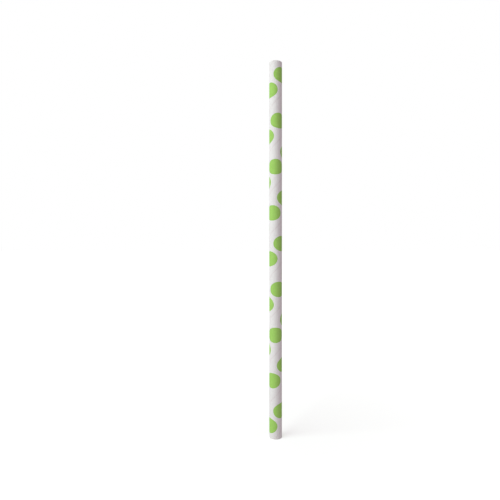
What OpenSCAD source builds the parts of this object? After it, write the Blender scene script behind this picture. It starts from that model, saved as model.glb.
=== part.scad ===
// Paper drinking straw, spirally wound, white with a row of green polka dots.
//
// Long strips of paper are wound on a slant round a mandrel and glued into a
// wall of three plies. The edges of the outer strip meet in one seam that
// climbs the straw as a helix. That strip carries one row of dots, which
// climbs the straw on a second helix of the same pitch.
// The straw stands on its lower end, on z = 0, with its axis on +Z and the
// side that is shown as its face towards -Y.

/* [Tube] */
// Length of the straw from end to end
straw_l = 197; // [120:1:260]
// Outside diameter of the wound tube
straw_od = 6.7; // [6:0.05:8]
// Thickness of the wall, three glued plies together
wall_t = 0.45; // [0.3:0.05:0.8]
// Chamfer that the cutting knife leaves on the edges of both ends
end_ease = 0.08; // [0.04:0.01:0.12]

/* [Winding] */
// Width of the outer strip of paper, measured square across it
strip_w = 15.17; // [13:0.01:17]
// Open width of the seam where the edges of the outer strip meet
seam_w = 0.2; // [0.1:0.05:0.4]
// Depth of the seam below the outside of the tube
seam_t = 0.05; // [0.03:0.01:0.06]

/* [Polka dots] */
// Length of a dot along the straw
dot_l = 8; // [5:0.1:9.5]
// Width of a dot, measured round the tube
dot_w = 9.9; // [5:0.1:11]
// Step from one dot to the next along the strip
dot_step = 11.05; // [10.8:0.01:16]
// Distance of the row of dots below the middle of the strip, square across it
row_shift = 0.6; // [-1.5:0.1:1.5]
// Distance from the upper end to the centre of the first whole dot
first_dot = 7; // [4:0.1:12]
// Turn of the first dot to the right of the straw's face, in degrees
first_turn = 65; // [0:0.5:180]
// Depth to which the ink fills the surface of the outer ply
ink_t = 0.06; // [0.04:0.01:0.06]

/* [Hidden] */
$fn = 96;

outer_r = straw_od / 2;
bore_r = outer_r - wall_t;
girth = PI * straw_od;

// A strip that butts against itself once a turn covers the girth exactly,
// which sets the angle between its edge and a ring round the tube
lay = asin(strip_w / girth);
pitch = girth * tan(lay);

// One step along the strip, as a climb along the straw and a turn round it
dot_climb = dot_step * sin(lay);
dot_turn = dot_step * cos(lay) / girth * 360;

// A dot of which less than this would show at an end is left out
least_dot = 0.4;
dot_reach = dot_l / 2 - least_dot;
dot_from = ceil((-first_dot - dot_reach) / dot_climb);
dot_to = floor((straw_l - first_dot + dot_reach) / dot_climb);

// Corners on a dot's outline, and degrees between the sections of the seam
dot_corners = 40;
seam_turn = 12;
// How far a cutter stands clear of what it cuts, and how many times as far
// from the axis as the surface it reaches outwards
over = 0.5;
spread = 2;

// Height above the lower end of dot n, and its turn from the straw's face
function dot_z(n) = straw_l - first_dot - n * dot_climb;
function dot_angle(n) = first_turn - n * dot_turn;

// Height of the seam where it has turned by an angle from the straw's face:
// half a pitch from the middle of the strip, and the turn at a given height
function seam_z(angle) =
    dot_z(0) + row_shift / cos(lay) + (angle - first_turn - 180) / 360 * pitch;
function seam_angle(z) = (z - seam_z(0)) / pitch * 360;

// Point at radius r, turned by an angle to the right of the straw's face
function on_tube(r, angle, z) = [r * sin(angle), -r * cos(angle), z];

// Tube with its bore, both edges of both ends eased by the knife
module tube_wall() {
    rotate_extrude()
        polygon([
            [bore_r, end_ease],
            [bore_r + end_ease, 0],
            [outer_r - end_ease, 0],
            [outer_r, end_ease],
            [outer_r, straw_l - end_ease],
            [outer_r - end_ease, straw_l],
            [bore_r + end_ease, straw_l],
            [bore_r, straw_l - end_ease]
        ]);
}

// Thin band between two heights, as deep into the surface as the ink; past is
// how far it stands out of the surface, for the band of a cutter
module ink_band(z_from, z_to, past) {
    translate([0, 0, z_from])
        difference() {
            cylinder(h = z_to - z_from, r = outer_r + past);
            translate([0, 0, -over])
                cylinder(h = z_to - z_from + 2 * over, r = outer_r - ink_t);
        }
}

// Cone with its tip on the axis, whose sides cut the oval outline of dot n
// from the surface
module dot_cone(n) {
    half_turn = dot_w / girth * 180;
    corners = [0 : dot_corners - 1];
    rim = [
        for (k = corners)
            let (a = k * 360 / dot_corners, side = half_turn * cos(a), rise = dot_l / 2 * sin(a))
                on_tube(spread * outer_r, dot_angle(n) + side, dot_z(n) + spread * rise)
    ];
    tip = [0, 0, dot_z(n)];
    middle = on_tube(spread * outer_r, dot_angle(n), dot_z(n));
    polyhedron(
        points = concat(rim, [tip, middle]),
        faces = concat(
            [for (k = corners) [k, (k + 1) % dot_corners, dot_corners]],
            [for (k = corners) [(k + 1) % dot_corners, k, dot_corners + 1]]
        )
    );
}

// Every dot as a thin curved field, cut off square where it meets an end
module dot_fields(past = 0) {
    for (n = [dot_from : dot_to])
        intersection() {
            ink_band(
                max(dot_z(n) - dot_l / 2 - over, end_ease),
                min(dot_z(n) + dot_l / 2 + over, straw_l - end_ease),
                past
            );
            dot_cone(n);
        }
}

// Cutter of the seam: a small section carried up the helix from below the
// lower end to above the upper end, its flat floors nowhere below the depth
module seam_cutter() {
    half_rise = seam_w / cos(lay) / 2;
    floor_r = (outer_r - seam_t) / cos(seam_turn / 2);
    rim_r = spread * outer_r;
    start = seam_angle(-2 * over);
    count = ceil((straw_l + 4 * over) / pitch * 360 / seam_turn);
    corners = [
        for (k = [0 : count])
            let (a = start + k * seam_turn, z = seam_z(a))
                each [
                    on_tube(floor_r, a, z - half_rise),
                    on_tube(rim_r, a, z - half_rise),
                    on_tube(rim_r, a, z + half_rise),
                    on_tube(floor_r, a, z + half_rise)
                ]
    ];
    sides = [
        for (k = [0 : count - 1], j = [0 : 3])
            let (a = 4 * k + j, b = 4 * k + (j + 1) % 4)
                each [[a, a + 4, b], [b, a + 4, b + 4]]
    ];
    last = 4 * count;
    polyhedron(
        points = corners,
        faces = concat([[0, 1, 2, 3]], sides, [[last + 3, last + 2, last + 1, last]])
    );
}

// The wound and glued tube: its bore, its seam and the places of the ink
module paper_tube() {
    color("#e4e0e0")
        difference() {
            tube_wall();
            seam_cutter();
            dot_fields(past = over);
        }
}

// The green ink of the dots, flush with the outside of the paper
module printed_dots() {
    color("#98c161")
        dot_fields();
}

paper_tube();
printed_dots();
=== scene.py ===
"""A spirally wound paper drinking straw with green polka dots, standing on its end."""

import math

import bmesh
import bpy
import numpy as np
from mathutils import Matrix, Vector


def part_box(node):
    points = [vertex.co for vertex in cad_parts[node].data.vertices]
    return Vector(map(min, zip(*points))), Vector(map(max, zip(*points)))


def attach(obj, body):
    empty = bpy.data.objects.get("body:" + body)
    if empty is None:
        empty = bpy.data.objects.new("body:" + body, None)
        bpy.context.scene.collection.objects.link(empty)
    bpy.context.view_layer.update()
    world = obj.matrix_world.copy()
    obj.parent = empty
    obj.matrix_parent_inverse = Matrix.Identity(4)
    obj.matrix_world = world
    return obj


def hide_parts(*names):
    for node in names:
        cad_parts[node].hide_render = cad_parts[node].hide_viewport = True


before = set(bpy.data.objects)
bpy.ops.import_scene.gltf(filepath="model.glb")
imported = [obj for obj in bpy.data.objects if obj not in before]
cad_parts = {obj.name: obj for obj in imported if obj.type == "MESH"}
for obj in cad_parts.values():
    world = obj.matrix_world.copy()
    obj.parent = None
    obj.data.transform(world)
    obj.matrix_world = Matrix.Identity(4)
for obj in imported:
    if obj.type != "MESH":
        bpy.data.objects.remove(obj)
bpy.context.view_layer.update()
scene = bpy.context.scene


# The wound tube.
# Three strips of uncoated white paper, wound on a slant round a mandrel and glued
# to each other into one stiff wall. The edges of a strip butt against each other
# in a helical seam, and a knife cuts the tube square at both ends.

FULL_TURN = 2 * math.pi
# Length and outer radius of the CAD tube, to the nearest micrometre
tube_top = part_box("paper_tube")[1]
STRAW_L = round(tube_top[2], 6)
WOUND_R = round(tube_top[0], 6)
PAPER_R = WOUND_R - 0.0000125       # outside of the paper; the ink makes up the rest
WALL_T = 0.00045
BORE_R = WOUND_R - WALL_T
PLIES = 3
# The strip covers the girth exactly in one turn, which fixes its slant and pitch
STRIP_W = 0.01517
LAY = math.asin(STRIP_W / (FULL_TURN * WOUND_R))
PITCH = FULL_TURN * WOUND_R * math.tan(LAY)
END_EASE = 0.00006          # rounding that the knife leaves on the edges of the ends

# The strip is printed before it is wound, so the row of dots fixes the seam's place
FIRST_DOT_Z = STRAW_L - 0.007
FIRST_DOT_TURN = math.radians(65)
ROW_SHIFT = 0.0006          # the row of dots lies this far below the strip's middle
DOTS_TO_SEAM = (FIRST_DOT_TURN + math.pi) / FULL_TURN * PITCH
SEAM_Z = FIRST_DOT_Z + ROW_SHIFT / math.cos(LAY) - DOTS_TO_SEAM
SEAM_HALF = 0.0001          # half the width of the open seam
SEAM_DEPTH = 0.00004
EDGE_LIFT = 0.000006        # how far the lower edge of the strip stands proud
EDGE_RUN = 0.0008           # way across the strip in which that runs out
BORE_SEAM_Z = SEAM_Z + 0.3 * PITCH      # the innermost strip's own seam
BORE_SEAM_DEPTH = 0.6 * SEAM_DEPTH

# Seams of the plies below, as shares across the strip, and the valleys they make
PLY_SEAMS = (0.36, 0.69)
PLY_HALF = 0.00055
PLY_DEPTH = 0.000007
# Waves of the glued strip: share, ways along and across for one radian, and phase
SWELL_WAVES = (
    (1.0, 0.0031, math.inf, 0.7),
    (0.8, 0.0074, 0.0029, 0.0),
    (0.6, 0.0017, -0.0021, 1.9),
)
SWELL_DEPTH = 0.0000018

# The cut ends, with the glue between the plies and the drag of the knife
GLUE_HALF = 0.012           # half the width of a glue line, as a share of the wall
GLUE_SINK = 0.000014        # depth of a glue line below the cut face
DRAG_WAVES = range(2, 9)    # numbers of waves in one turn round the tube
DRAG_LEVEL = 2.2            # added to their sum, so that hardly any of it is below 0
DRAG_DEPTH = 0.000003       # depth for each unit of that sum


def pitches_above(turn, z, seam_z):
    """Height of a point of the wall above the seam, in pitches.

    turn is its angle to the right of the straw's face and z its height. It is the
    height above the seam at the face, over the pitch, less the point's share of a
    turn, by which the seam has climbed there.
    """
    return (z - seam_z) / PITCH - turn / FULL_TURN


def way_along(turn, z, wrap):
    """Way along the strip of a point on its turn number wrap: the unrolled arc times
    the cosine of the lay, plus the height times its sine."""
    return WOUND_R * (turn + FULL_TURN * wrap) * math.cos(LAY) + z * math.sin(LAY)


def on_strip(turn, z, seam_z):
    """Ways along and across the strip that covers a point of the wall.

    The whole pitches above the seam number the strip's turn below the point, and
    what is left over is the share of the strip's width that the point lies across.
    """
    pitches = pitches_above(turn, z, seam_z)
    wrap = np.floor(pitches)
    return way_along(turn, z, wrap), (pitches - wrap) * STRIP_W


def seam_dip(across):
    """Open seam, a valley with round shoulders at both edges of the strip, as a share
    of its full depth.

    The distance from the nearer edge, as a share of the seam's half width, goes
    through one over one plus its fourth power, so that the floor is flat and the
    shoulders run out softly.
    """
    edge = np.minimum(across, STRIP_W - across)
    return 1 / (1 + (edge / SEAM_HALF) ** 4)


def paper_swell(along, across):
    """Slight unevenness of the glued plies, from 0 down to about 0.015 mm.

    The seams of the two plies below show through as two shallow bell-shaped
    valleys, about a third and two thirds of the way across the strip. A few long
    waves along the strip, fading out at its edges, stand for the pull of the glue.
    """
    under = sum(np.exp(-(((across - share * STRIP_W) / PLY_HALF) ** 2)) for share in PLY_SEAMS)
    fade = np.sin(math.pi * across / STRIP_W) ** 2
    waves = sum(
        share * (np.sin(along / long_way + across / cross_way + phase) - 1)
        for share, long_way, cross_way, phase in SWELL_WAVES
    )
    return SWELL_DEPTH * fade * waves - PLY_DEPTH * under


def outer_wall_r(turn, z):
    """Radius of the outside of the paper: the tube, less its seam and unevenness, and
    with the strip's lower edge lifted, outside the seam itself, by an exponential
    that dies out across it."""
    along, across = on_strip(turn, z, SEAM_Z)
    dip = seam_dip(across)
    lift = EDGE_LIFT * np.exp(-across / EDGE_RUN) * (1 - dip)
    return PAPER_R + lift - SEAM_DEPTH * dip + paper_swell(along, across)


def bore_wall_r(turn, z):
    """Radius of the bore: the mandrel's, widened at the innermost strip's seam, and with
    half the unevenness of the outside."""
    along, across = on_strip(turn, z, BORE_SEAM_Z)
    return BORE_R + BORE_SEAM_DEPTH * seam_dip(across) - 0.5 * paper_swell(along, across)


def wall_rows(seam_z, plain_rows, ply_seams=()):
    """Heights, at the face, of helical rows that climb with the strip.

    Each turn of the strip has close rows over its seam and over the valleys of the
    ply seams, and plain ones between, in the same places. There are enough turns to
    pass both ends at every angle.
    """
    near = SEAM_HALF / math.cos(LAY) * np.array([0, 0.4, 0.7, 0.95, 1.2, 1.5, 2.0, 3.2])
    plain = np.linspace(near[-1], PITCH - near[-1], plain_rows + 2)[1:-1]
    over_ply = PLY_HALF / math.cos(LAY) * np.array([-1.5, -0.9, -0.45, 0, 0.45, 0.9, 1.5])
    valleys = [share * PITCH + over_ply for share in ply_seams]
    one_turn = np.sort(np.concatenate([near, plain, PITCH - near, *valleys]))
    first = math.floor(-seam_z / PITCH) - 2
    last = math.ceil((STRAW_L - seam_z) / PITCH) + 1
    return (seam_z + PITCH * np.arange(first, last)[:, None] + one_turn).ravel()


def wound_surface(columns=144):
    """The tube as one closed grid of rows round it and columns along it.

    Rows of the outer wall climb as helices with the strip and are held between the
    two ends, then come the rounded edge, the cut faces of the plies and the inner
    edge of the upper end, the rows of the bore from top to bottom, and the lower
    end. Each point has a turn, a radius and a height, the height of the seam that
    its strip starts from, its way into the wall and its share of glue.
    """
    turn = np.linspace(0, FULL_TURN, columns + 1)[None, :]
    low, high = END_EASE, STRAW_L - END_EASE

    def climb(rows):
        """Rows carried round the tube at the strip's slant, held between the ends."""
        return np.clip(rows[:, None] + PITCH * turn / FULL_TURN, low, high)

    z_out = climb(wall_rows(SEAM_Z, plain_rows=8, ply_seams=PLY_SEAMS))
    r_out = outer_wall_r(turn, z_out)
    z_in = climb(wall_rows(BORE_SEAM_Z, plain_rows=3))[::-1]
    r_in = bore_wall_r(turn, z_in)

    # One end, from the outer wall to the bore: share of the way through the wall
    # and depth below the highest fibres, with close rows at the glue lines
    quarter = np.linspace(0, math.pi / 2, 5)
    wall = PAPER_R - BORE_R
    eased = END_EASE / wall
    glue_lines = np.arange(1, PLIES) / PLIES
    flat = [np.linspace(eased, 1 - eased, 12)[1:-1]]
    flat += [glue_lines + k * GLUE_HALF for k in (-1.6, -1, 0, 1, 1.6)]
    flat = np.sort(np.concatenate(flat))
    outer_edge = eased * (1 - np.cos(quarter))
    share = np.concatenate([outer_edge, flat, 1 - outer_edge[::-1]])
    rounding = END_EASE * (1 - np.sin(quarter))
    depth = np.concatenate([rounding, 0 * flat, rounding[::-1]])
    glue = sum(np.exp(-(((share - line) / (0.75 * GLUE_HALF)) ** 2)) for line in glue_lines)
    ply = np.clip(np.floor(share * PLIES), 0, PLIES - 1)

    def cut_end(z_wall, seed):
        """One cut end: radii run from wall to bore, and the face sinks at the glue
        lines and, ply by ply, a little with the drag of the knife, a sum of waves
        round the tube."""
        rng = np.random.default_rng(seed)
        drag = sum(
            rng.uniform(0.2, 1) / k * np.sin(k * turn + rng.uniform(0, 7) + ply[:, None])
            for k in DRAG_WAVES
        )
        dragged = DRAG_DEPTH * (drag + DRAG_LEVEL).clip(0)
        middle = np.sin(math.pi * share)[:, None] ** 0.5
        sink = depth[:, None] + GLUE_SINK * glue[:, None] + middle * dragged
        r0, r1 = outer_wall_r(turn, z_wall), bore_wall_r(turn, z_wall)
        return r0 + (r1 - r0) * share[:, None], sink

    r_top, sink_top = cut_end(high, seed=11)
    r_bottom, sink_bottom = cut_end(low, seed=12)
    one_out, one_in, one_end = np.ones(len(z_out)), np.ones(len(z_in)), np.ones(len(share))
    ends_start = SEAM_Z * one_end
    start = np.concatenate([SEAM_Z * one_out, ends_start, BORE_SEAM_Z * one_in, ends_start])
    inward = np.concatenate([0 * one_out, wall * share, 0 * one_in, wall * share[::-1]])
    glued = np.concatenate([0 * one_out, glue, 0 * one_in, glue[::-1]])
    grid = [
        turn,
        np.concatenate([r_out, r_top, r_in, r_bottom[::-1]]),
        np.concatenate([z_out, STRAW_L - sink_top, z_in, sink_bottom[::-1]]),
        start[:, None],
        inward[:, None],
        glued[:, None],
    ]
    # The last row is the first again, which closes the tube
    grid = np.broadcast_arrays(*grid)
    return [np.concatenate([values, values[:1]]) for values in grid]


def round_axis(turn, r, z):
    """Points from their turn, radius and height: the sine of the turn to the right and
    its cosine to the front, both times the radius."""
    return np.stack([r * np.sin(turn), -r * np.cos(turn), z], axis=-1).reshape(-1, 3)


def grid_faces(rows, columns):
    """Corner numbers of the squares between neighbouring rows and columns."""
    corner = np.arange((rows - 1) * columns).reshape(rows - 1, columns)[:, :-1].ravel()
    return np.stack([corner, corner + 1, corner + columns + 1, corner + columns], axis=1)


def strip_uv(turn, z, faces, start, inward):
    """Strip coordinates for each corner of each face, in metres.

    The whole face takes the turn of the strip that lies under its middle, so that
    the pattern runs along the strip and breaks only at the seam. The way into the
    wall is added to the way across, which carries the pattern over the cut ends.
    """
    pitches = pitches_above(turn[faces], z[faces], start[faces[:, :1]])
    wrap = np.floor(pitches.mean(axis=1))[:, None]
    along = way_along(turn[faces], z[faces], wrap)
    across = (pitches - wrap) * STRIP_W + inward[faces]
    return np.stack([along, across], axis=2)


SAME_POINT = 2e-7           # points closer than this are merged


def piece_mesh(name, points, faces, uv, shade):
    """A piece from arrays, its doubles merged, with strip coordinates and one shade
    value for each point."""
    mesh = bpy.data.meshes.new(name)
    mesh.from_pydata(points, [], faces)
    mesh.uv_layers.new(name="strip").data.foreach_set("uv", uv.astype(np.float32).ravel())
    layer = mesh.attributes.new("shade", "FLOAT", "POINT")
    layer.data.foreach_set("value", shade.astype(np.float32).ravel())
    work = bmesh.new()
    work.from_mesh(mesh)
    bmesh.ops.remove_doubles(work, verts=work.verts, dist=SAME_POINT)
    work.to_mesh(mesh)
    work.free()
    mesh.shade_smooth()
    piece = bpy.data.objects.new(name, mesh)
    scene.collection.objects.link(piece)
    return piece


tube_turn, tube_r, tube_z, tube_start, tube_inward, tube_glue = wound_surface()
tube_faces = grid_faces(*tube_z.shape)
tube_uv = strip_uv(
    tube_turn.ravel(), tube_z.ravel(), tube_faces, tube_start.ravel(), tube_inward.ravel()
)
tube_points = round_axis(tube_turn, tube_r, tube_z)
wound_paper = piece_mesh("wound_paper", tube_points, tube_faces, tube_uv, tube_glue)


def new_material(name):
    """A new material, and the shader that it starts with."""
    material = bpy.data.materials.new(name)
    material.use_nodes = True
    return material, material.node_tree.nodes["Principled BSDF"]


def node(owner, kind, **settings):
    """A new node of a material or of the world, with its settings."""
    made = owner.node_tree.nodes.new(kind)
    for name, value in settings.items():
        setattr(made, name, value)
    return made


def link(owner, source, target):
    """A link from a node's output to another node's input."""
    owner.node_tree.links.new(source, target)


def steer(owner, value, low, high, to_low, to_high):
    """value carried from the range low to high onto the range to_low to to_high."""
    made = node(owner, "ShaderNodeMapRange")
    bounds = {"From Min": low, "From Max": high, "To Min": to_low, "To Max": to_high}
    for name, bound in bounds.items():
        made.inputs[name].default_value = bound
    link(owner, value, made.inputs["Value"])
    return made.outputs["Result"]


# Colour sockets of a mix node, which has others by the same names
MIX_BASE, MIX_COLOUR, MIX_RESULT = 6, 7, 2


def tint(material, base, colour, value, low, high, most):
    """base, a colour or the output of a node, blended with a plain colour by a share
    that goes from none to most while value goes from low to high."""
    made = node(material, "ShaderNodeMix", data_type="RGBA")
    link(material, steer(material, value, low, high, 0.0, most), made.inputs["Factor"])
    if isinstance(base, tuple):
        made.inputs[MIX_BASE].default_value = base
    else:
        link(material, base, made.inputs[MIX_BASE])
    made.inputs[MIX_COLOUR].default_value = colour
    return made.outputs[MIX_RESULT]


FIBRE_SETS = ((0.35, 0.0), (-0.5, 3.7))     # angle to the strip, and offset of the noise
FIBRE_SCALE = (900, 7000, 1)                # noise cells in a metre, along and across a fibre
CLOUD_SCALE = 420.0                         # the same for the clouds, both ways


def paper_grain(material):
    """Fibres of the paper, worked out on the strip's own coordinates.

    Two crossing sets of long thin noise, at small angles to the strip, are the
    fibres, and a broad noise is the cloudy formation of the sheet. Gives the sum of
    the fibres and the cloud.
    """
    strip = node(material, "ShaderNodeUVMap", uv_map="strip").outputs["UV"]
    fibre = node(material, "ShaderNodeMath", operation="ADD")
    for side, (angle, offset) in enumerate(FIBRE_SETS):
        turned = node(material, "ShaderNodeMapping")
        turned.inputs["Rotation"].default_value[2] = angle
        turned.inputs["Location"].default_value[1] = offset
        link(material, strip, turned.inputs["Vector"])
        thin = node(material, "ShaderNodeVectorMath", operation="MULTIPLY")
        thin.inputs[1].default_value = FIBRE_SCALE
        link(material, turned.outputs["Vector"], thin.inputs[0])
        fibres = node(material, "ShaderNodeTexNoise")
        fibres.inputs["Scale"].default_value = 1.0
        fibres.inputs["Detail"].default_value = 3.0
        fibres.inputs["Roughness"].default_value = 0.6
        link(material, thin.outputs["Vector"], fibres.inputs["Vector"])
        link(material, fibres.outputs["Fac"], fibre.inputs[side])
    cloud = node(material, "ShaderNodeTexNoise")
    cloud.inputs["Scale"].default_value = CLOUD_SCALE
    cloud.inputs["Detail"].default_value = 4.0
    link(material, strip, cloud.inputs["Vector"])
    return fibre.outputs["Value"], cloud.outputs["Fac"]


def matt_fibres(material, shader, fibre, between, crown, strength, height):
    """Roughness of the surface between the fibres and on their crowns, and their relief:
    height is that of a whole unit of the noise, and strength the share that shows."""
    low, high = 0.8, 1.3        # most of the fibres' noise lies between these
    roughness = steer(material, fibre, low, high, between, crown)
    link(material, roughness, shader.inputs["Roughness"])
    bump = node(material, "ShaderNodeBump")
    bump.inputs["Strength"].default_value = strength
    bump.inputs["Distance"].default_value = height
    link(material, fibre, bump.inputs["Height"])
    link(material, bump.outputs["Normal"], shader.inputs["Normal"])


SHEET_WHITE = (0.87, 0.834, 0.847, 1)
SHEET_CLOUDED = (0.838, 0.795, 0.812, 1)
SHEET_FIBRE = (0.66, 0.60, 0.61, 1)
# Rosy glue beside the seam, also darkened there as painted shade of the seam
ROSE_GLUE_AND_SHADE = (0.80, 0.69, 0.72, 1)
# Painted shade in the open seam, partly glue
SEAM_SHADE_AND_GLUE = (0.62, 0.53, 0.54, 1)
GLUE_LINE = (0.50, 0.46, 0.42, 1)

white_paper, paper_shader = new_material("white_paper")
paper_shader.inputs["Specular IOR Level"].default_value = 0.3
# Base white, its clouds, and fibres that lie a touch darker
paper_fibre, paper_cloud = paper_grain(white_paper)
sheet = tint(white_paper, SHEET_WHITE, SHEET_CLOUDED, paper_cloud, low=0.3, high=0.7, most=1.0)
sheet = tint(white_paper, sheet, SHEET_FIBRE, paper_fibre, low=0.85, high=1.25, most=0.2)
# Beside the seam a faint rosy glue stain with painted shade, and within it a darker
# painted shade of the open seam, partly glue, both by the distance from the strip's middle
strip_place = node(white_paper, "ShaderNodeUVMap", uv_map="strip").outputs["UV"]
strip_ways = node(white_paper, "ShaderNodeSeparateXYZ")
link(white_paper, strip_place, strip_ways.inputs["Vector"])
past_middle = node(white_paper, "ShaderNodeMath", operation="SUBTRACT")
link(white_paper, strip_ways.outputs["Y"], past_middle.inputs[0])
past_middle.inputs[1].default_value = STRIP_W / 2
distance = node(white_paper, "ShaderNodeMath", operation="ABSOLUTE")
link(white_paper, past_middle.outputs["Value"], distance.inputs[0])
from_middle = distance.outputs["Value"]
for colour, width, most in ((ROSE_GLUE_AND_SHADE, 0.0010, 0.20), (SEAM_SHADE_AND_GLUE, 0.00016, 0.45)):
    inner, edge = STRIP_W / 2 - width, STRIP_W / 2
    sheet = tint(white_paper, sheet, colour, from_middle, inner, edge, most)
# Glue lines between the plies on the cut ends
glue = node(white_paper, "ShaderNodeAttribute", attribute_name="shade").outputs["Fac"]
sheet = tint(white_paper, sheet, GLUE_LINE, glue, low=0.0, high=1.0, most=0.75)
link(white_paper, sheet, paper_shader.inputs["Base Color"])
matt_fibres(
    white_paper, paper_shader, paper_fibre, between=0.92, crown=0.8, strength=0.9, height=0.000014
)
wound_paper.data.materials.append(white_paper)

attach(wound_paper, "root")
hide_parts("paper_tube")


# The printed dots.
# One row of light green dots, printed on the outer strip before it is wound, so
# that they climb the straw with it. The ink is a matt film that follows the paper,
# and a dot that meets an end is cut off with the tube.

DOT_L = 0.008               # along the straw
DOT_W = 0.0099              # round it
DOT_STEP = 0.01105          # from one dot to the next along the strip
DOT_CLIMB = DOT_STEP * math.sin(LAY)
DOT_TURN = DOT_STEP * math.cos(LAY) / WOUND_R
LEAST_DOT = 0.0004          # a dot of which less would show at an end is left out
INK_T = 0.0000115
INK_UNDER = 0.000008        # how far the film reaches into the paper
INK_EDGE = 0.00005          # width over which the film runs out
INK_RIM = 0.0005            # width of the darker rim that the printing plate squeezes out
INK_SPREAD = 0.000009       # size of the waves of a dot's outline
SPREAD_WAVES = (3, 5, 8, 13, 19)


def dot_film(spokes=96, rings=18, under_rings=9):
    """All dots as closed films on the tube, each a polar grid round a pole.

    Along each spoke the outline lies where the spoke leaves the oval, moved by a
    few small waves as ink spreads in paper, or where it meets a cut end if that is
    nearer. Rings from pole to outline carry the film's face, which runs out within
    its edge, and fewer rings lead back underneath it. A point's radius is that of
    the paper below it plus the height of the film. Gives turns, radii and heights,
    and how near each point is to the rim.
    """
    reach = DOT_L / 2 - LEAST_DOT
    first = math.ceil((FIRST_DOT_Z - STRAW_L - reach) / DOT_CLIMB)
    last = math.floor((FIRST_DOT_Z + reach) / DOT_CLIMB)
    number = np.arange(first, last + 1)[:, None, None]
    centre_z = FIRST_DOT_Z - number * DOT_CLIMB
    centre_turn = FIRST_DOT_TURN - number * DOT_TURN
    low, high = END_EASE, STRAW_L - END_EASE
    lowest, highest = centre_z - DOT_L / 2, centre_z + DOT_L / 2
    pole_z = (np.maximum(lowest, low) + np.minimum(highest, high)) / 2

    way = np.linspace(0, FULL_TURN, spokes + 1)[None, None, :]
    rng = np.random.default_rng(5)
    spread = sum(
        rng.uniform(0.3, 1, number.shape) * np.sin(k * way + rng.uniform(0, 7, number.shape))
        for k in SPREAD_WAVES
    )
    half_w, half_l = DOT_W / 2 + INK_SPREAD * spread, DOT_L / 2 + INK_SPREAD * spread
    # A spoke leaves the oval where a quadratic in the distance from the pole is zero
    up = pole_z - centre_z
    square = (np.cos(way) / half_w) ** 2 + (np.sin(way) / half_l) ** 2
    cross = up * np.sin(way) / half_l**2
    rest = (up / half_l) ** 2 - 1
    oval = (-cross + np.sqrt(cross**2 - square * rest)) / square
    level = 1e-9                # a spoke that rises by less counts as level
    rise = np.where(np.abs(np.sin(way)) < level, level, np.sin(way))
    to_end = np.where(rise > 0, (high - pole_z) / rise, (low - pole_z) / rise)
    outline = np.minimum(oval, to_end)

    # Rings as a distance from the pole, first on the face and then underneath
    face = np.linspace(0, 1, rings)[None, :, None] * (outline - INK_EDGE)
    run_out = outline - INK_EDGE * np.array([0.7, 0.4, 0.15, 0.0])[None, :, None]
    under = np.linspace(1, 0, under_rings)[None, :, None] * outline
    distance = np.concatenate([face, run_out, under], axis=1)
    face_height = np.full(rings, INK_T)
    run_out_height = INK_T * np.array([0.94, 0.75, 0.4, 0])
    under_height = np.full(under_rings, -INK_UNDER)
    height = np.concatenate([face_height, run_out_height, under_height])[None, :, None]
    turn = centre_turn + distance * np.cos(way) / WOUND_R
    z = pole_z + distance * np.sin(way)
    rim = np.exp(-(((outline - distance) / INK_RIM) ** 2))
    return turn, outer_wall_r(turn, z) + height, z, rim


dot_turn, dot_r, dot_z, dot_rim = dot_film()
dots, rows, columns = dot_z.shape
first_corners = rows * columns * np.arange(dots)[:, None, None]
dot_faces = (grid_faces(rows, columns)[None] + first_corners).reshape(-1, 4)[:, ::-1]
dot_start = np.full(dot_z.size, SEAM_Z)
dot_uv = strip_uv(dot_turn.ravel(), dot_z.ravel(), dot_faces, dot_start, 0 * dot_start)
dot_points = round_axis(dot_turn, dot_r, dot_z)
dot_print = piece_mesh("dot_print", dot_points, dot_faces, dot_uv, dot_rim)

INK_GREEN = (0.385, 0.655, 0.148, 1)
INK_CLOUDED = (0.354, 0.617, 0.130, 1)
INK_THIN = (0.60, 0.78, 0.38, 1)
INK_THICK = (0.27, 0.52, 0.08, 1)

green_ink, ink_shader = new_material("green_ink")
ink_shader.inputs["Specular IOR Level"].default_value = 0.12
ink_fibre, ink_cloud = paper_grain(green_ink)
ink = tint(green_ink, INK_GREEN, INK_CLOUDED, ink_cloud, low=0.3, high=0.7, most=1.0)
# Raised fibres take less ink, and the edge of a dot takes a little more
ink = tint(green_ink, ink, INK_THIN, ink_fibre, low=0.95, high=1.3, most=0.16)
rim = node(green_ink, "ShaderNodeAttribute", attribute_name="shade").outputs["Fac"]
ink = tint(green_ink, ink, INK_THICK, rim, low=0.0, high=1.0, most=0.3)
link(green_ink, ink, ink_shader.inputs["Base Color"])
matt_fibres(
    green_ink, ink_shader, ink_fibre, between=0.78, crown=0.62, strength=0.8, height=0.000012
)
dot_print.data.materials.append(green_ink)

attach(dot_print, "root")
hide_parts("printed_dots")


# The floor and the white ground.
# A wide plain white surface that the straw stands on, and white all round it. The
# floor keeps the straw's soft shadow.

FLOOR_HALF = 6.0
FLOOR_Z = -0.00001          # a hair below the straw's end, so that they don't coincide
corners = FLOOR_HALF * np.array([[-1, -1, 0], [1, -1, 0], [1, 1, 0], [-1, 1, 0]], float)
corners[:, 2] = FLOOR_Z
floor_mesh = bpy.data.meshes.new("floor")
floor_mesh.from_pydata(corners, [], [[0, 1, 2, 3]])
floor = bpy.data.objects.new("floor", floor_mesh)
scene.collection.objects.link(floor)


def seen_share(owner):
    """1 for a ray that shows the ground as it looks, straight, mirrored or through."""
    path = node(owner, "ShaderNodeLightPath")
    share = path.outputs["Is Camera Ray"]
    for kind in ("Is Glossy Ray", "Is Transmission Ray"):
        either = node(owner, "ShaderNodeMath", operation="MAXIMUM")
        link(owner, share, either.inputs[0])
        link(owner, path.outputs[kind], either.inputs[1])
        share = either.outputs["Value"]
    return share


WHITEN_NEAR = 0.51          # light added to the seen floor at the straw
WHITEN_FAR = 0.74
WHITEN_WAY = 0.3            # distance from the straw at which all of it is added

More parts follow.
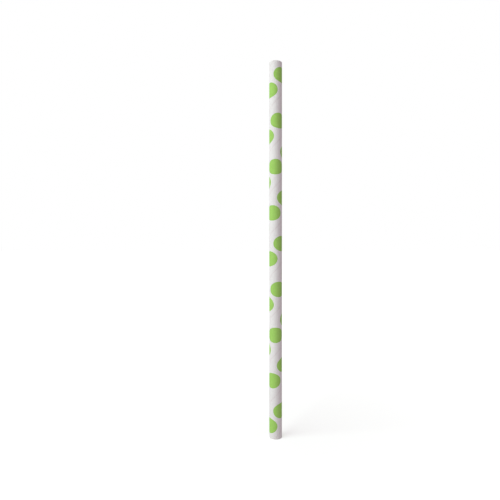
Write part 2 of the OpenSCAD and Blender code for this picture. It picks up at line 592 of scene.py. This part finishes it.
white_floor, floor_shader = new_material("white_floor")
floor_shader.inputs["Base Color"].default_value = (0.8, 0.8, 0.8, 1)
floor_shader.inputs["Roughness"].default_value = 0.9
floor_shader.inputs["Specular IOR Level"].default_value = 0.0
floor_shader.inputs["Emission Color"].default_value = (0.955, 1, 0.985, 1)
# Close to the straw the floor is white only in full light, so that the straw's
# shadow shows, and further out it is white wherever the lamp stands
place = node(white_floor, "ShaderNodeTexCoord")
far = node(white_floor, "ShaderNodeVectorMath", operation="LENGTH")
link(white_floor, place.outputs["Object"], far.inputs[0])
whiten = steer(white_floor, far.outputs["Value"], 0.0, WHITEN_WAY, WHITEN_NEAR, WHITEN_FAR)
whiten.node.interpolation_type = "SMOOTHSTEP"
lift = node(white_floor, "ShaderNodeMath", operation="MULTIPLY")
link(white_floor, seen_share(white_floor), lift.inputs[0])
link(white_floor, whiten, lift.inputs[1])
link(white_floor, lift.outputs["Value"], floor_shader.inputs["Emission Strength"])
floor_mesh.materials.append(white_floor)

world = bpy.data.worlds.new("white_ground")
scene.world = world
world.use_nodes = True
world.node_tree.nodes.clear()
fill = node(world, "ShaderNodeBackground")
fill.inputs["Color"].default_value = (1.0, 0.867, 0.908, 1)
fill.inputs["Strength"].default_value = 0.436
seen = node(world, "ShaderNodeBackground")
seen.inputs["Color"].default_value = (1, 1, 1, 1)
seen.inputs["Strength"].default_value = 1.0
ground = node(world, "ShaderNodeMixShader")
link(world, seen_share(world), ground.inputs["Fac"])
link(world, fill.outputs["Background"], ground.inputs[1])
link(world, seen.outputs["Background"], ground.inputs[2])
link(world, ground.outputs["Shader"], node(world, "ShaderNodeOutputWorld").inputs["Surface"])


# The light.
# One large soft lamp to the left of the camera, higher than the straw and turned
# to its middle, so that the tube is bright on its left and falls off to its right.

KEY_TURN = math.radians(-55)
KEY_WAY = 0.9
KEY_Z = 0.45
key_data = bpy.data.lights.new("key", "AREA")
key_data.shape = "RECTANGLE"
key_data.size = 0.9
key_data.size_y = 0.7
key_data.energy = 6.72
key_data.color = (0.857, 1.0, 0.935)
key = bpy.data.objects.new("key", key_data)
key.location = (KEY_WAY * math.sin(KEY_TURN), -KEY_WAY * math.cos(KEY_TURN), KEY_Z)
aim = np.array([0, 0, STRAW_L / 2]) - np.array(key.location)
key_tilt = math.acos(-aim[2] / np.linalg.norm(aim))
key.rotation_euler = (key_tilt, 0, math.atan2(-aim[0], aim[1]))
scene.collection.objects.link(key)


# The camera.
# In front of the straw, a little above its middle and looking down by less than a
# degree. The straw stands to the right of the middle of the frame, which the lens
# shift gives.

CAMERA_WAY = 0.2265
CAMERA_DOWN = 0.0139        # slope of the view, in radians
CAMERA_AIM_Z = 0.099
SENSOR_MM = 36.0            # Blender gives sensors and lenses in millimetres
PHOTO_PX = 500              # width of the photo
STRAW_PX = 25.62            # from the middle of the photo to the straw, on its right
PIXEL = 0.0005268           # what one pixel shows at the straw's axis
camera_data = bpy.data.cameras.new("camera")
camera_data.sensor_width = SENSOR_MM
camera_data.lens = SENSOR_MM * CAMERA_WAY / (PIXEL * PHOTO_PX)
camera_data.shift_x = -STRAW_PX / PHOTO_PX
camera_data.clip_start = 0.01
camera = bpy.data.objects.new("camera", camera_data)
camera_back = CAMERA_WAY * math.cos(CAMERA_DOWN)
camera.location = (0, -camera_back, CAMERA_AIM_Z + CAMERA_WAY * math.sin(CAMERA_DOWN))
camera.rotation_euler = (math.pi / 2 - CAMERA_DOWN, 0, 0)
scene.collection.objects.link(camera)
scene.camera = camera

scene.view_settings.view_transform = "Standard"
